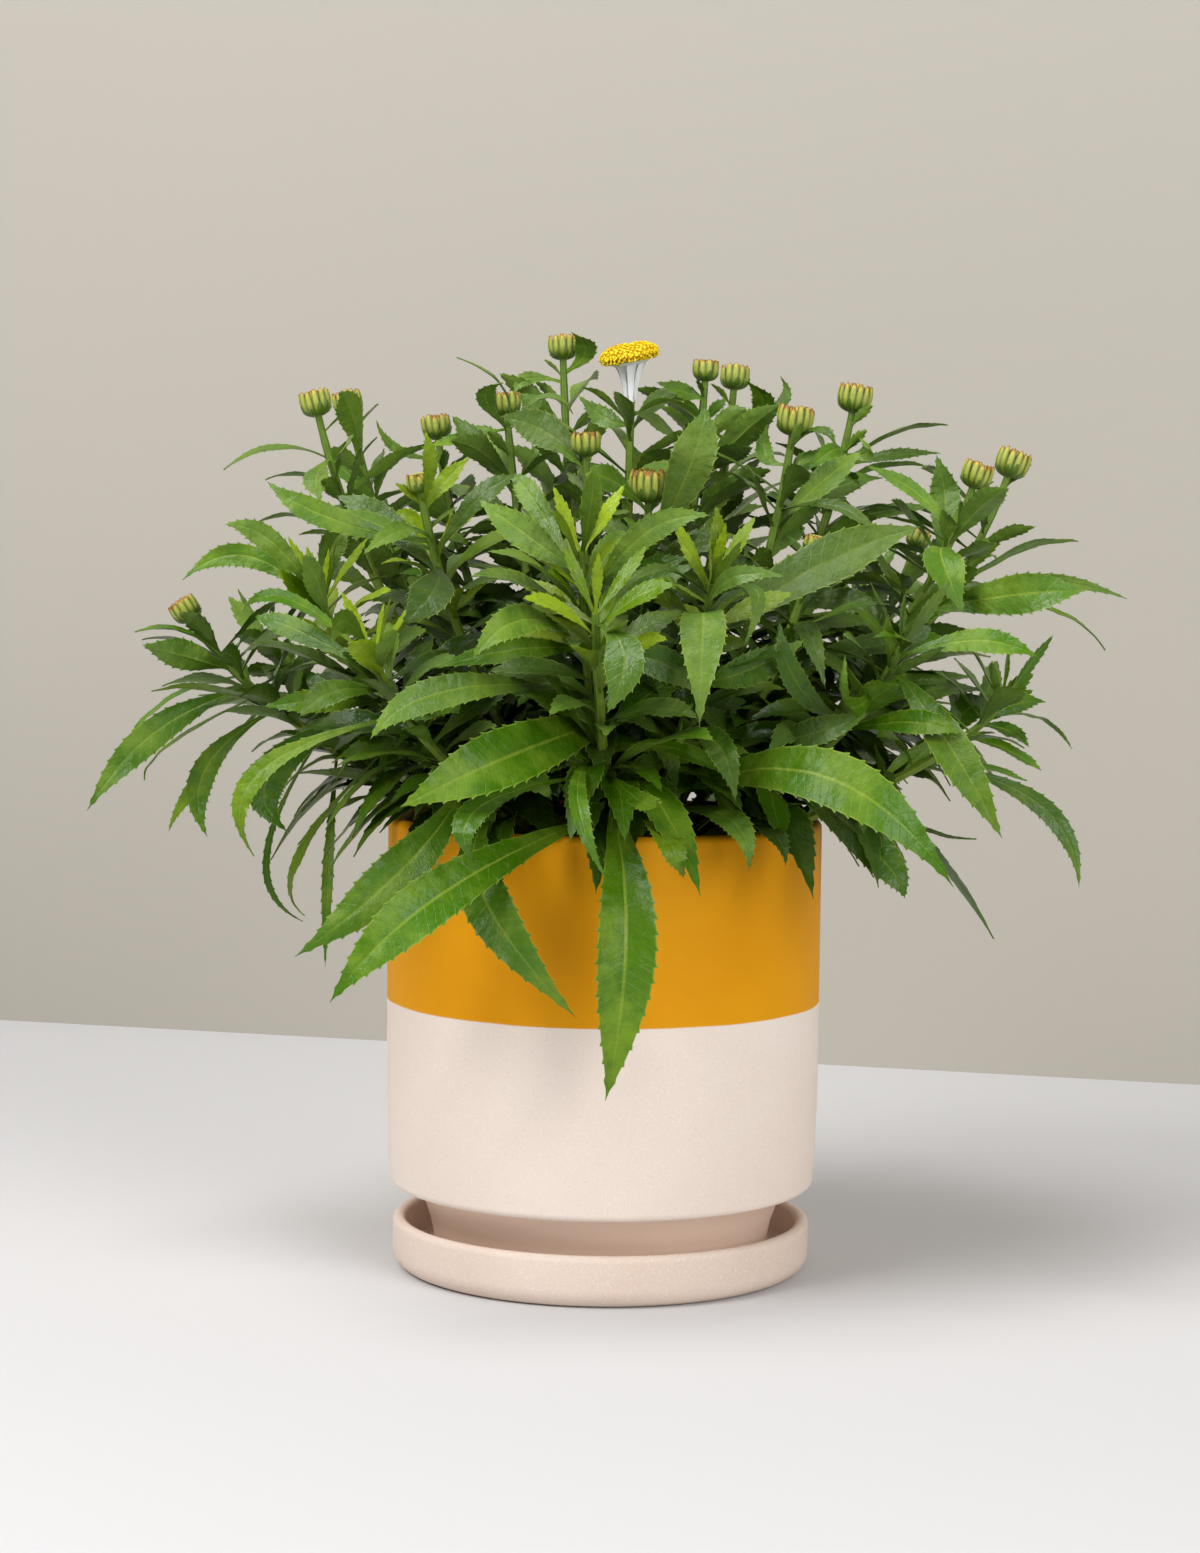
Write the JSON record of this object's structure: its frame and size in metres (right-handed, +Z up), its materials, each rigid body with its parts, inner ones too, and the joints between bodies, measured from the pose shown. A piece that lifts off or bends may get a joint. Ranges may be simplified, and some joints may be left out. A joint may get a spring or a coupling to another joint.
{
  "type": "potted shasta daisy",
  "caption": "Bushy shasta daisy in bud with toothed leaves and an open yellow disc, growing from soil in a round ceramic pot on a shallow saucer.",
  "frame": {"origin": "middle of the saucer's flat underside", "axes": "+Z up, -Y the front that faces the viewer, +X the viewer's right"},
  "size_m": [0.3576, 0.2717, 0.3254],
  "materials": {
    "saucer_ceramic": "matte",
    "pot_ceramic": "matte",
    "potting_soil": "matte",
    "foliage": "satin",
    "bud_bracts": "satin",
    "disc": "matte",
    "rays": "matte"
  },
  "bodies": {
    "root": {"saucer": "saucer_ceramic", "pot": "pot_ceramic", "soil": "potting_soil", "leafy_stem_01": "foliage", "leafy_stem_02": "foliage", "leafy_stem_03": "foliage", "leafy_stem_04": "foliage", "leafy_stem_05": "foliage", "leafy_stem_06": "foliage", "leafy_stem_07": "foliage", "leafy_stem_08": "foliage", "leafy_stem_09": "foliage", "leafy_stem_10": "foliage", "leafy_stem_11": "foliage", "leafy_stem_12": "foliage", "leafy_stem_13": "foliage", "leafy_stem_14": "foliage", "leafy_stem_15": "foliage", "leafy_stem_16": "foliage", "leafy_stem_17": "foliage", "leafy_stem_18": "foliage", "leafy_stem_19": "foliage", "leafy_stem_20": "foliage", "leafy_stem_21": "foliage", "leafy_stem_22": "foliage", "leafy_stem_23": "foliage", "leafy_stem_24": "foliage", "leafy_stem_25": "foliage", "leafy_stem_26": "foliage", "leafy_stem_27": "foliage", "leafy_stem_28": "foliage", "leafy_stem_29": "foliage", "leafy_stem_30": "foliage", "bud_02": "bud_bracts", "bud_03": "bud_bracts", "bud_04": "bud_bracts", "bud_05": "bud_bracts", "bud_06": "bud_bracts", "bud_07": "bud_bracts", "bud_08": "bud_bracts", "bud_09": "bud_bracts", "bud_10": "bud_bracts", "bud_11": "bud_bracts", "bud_12": "bud_bracts", "bud_13": "bud_bracts", "bud_14": "bud_bracts", "bud_15": "bud_bracts", "bud_16": "bud_bracts", "bud_17": "bud_bracts", "bud_18": "bud_bracts", "disc_florets": "disc", "ray_florets": "rays"}
  },
  "joints": []
}
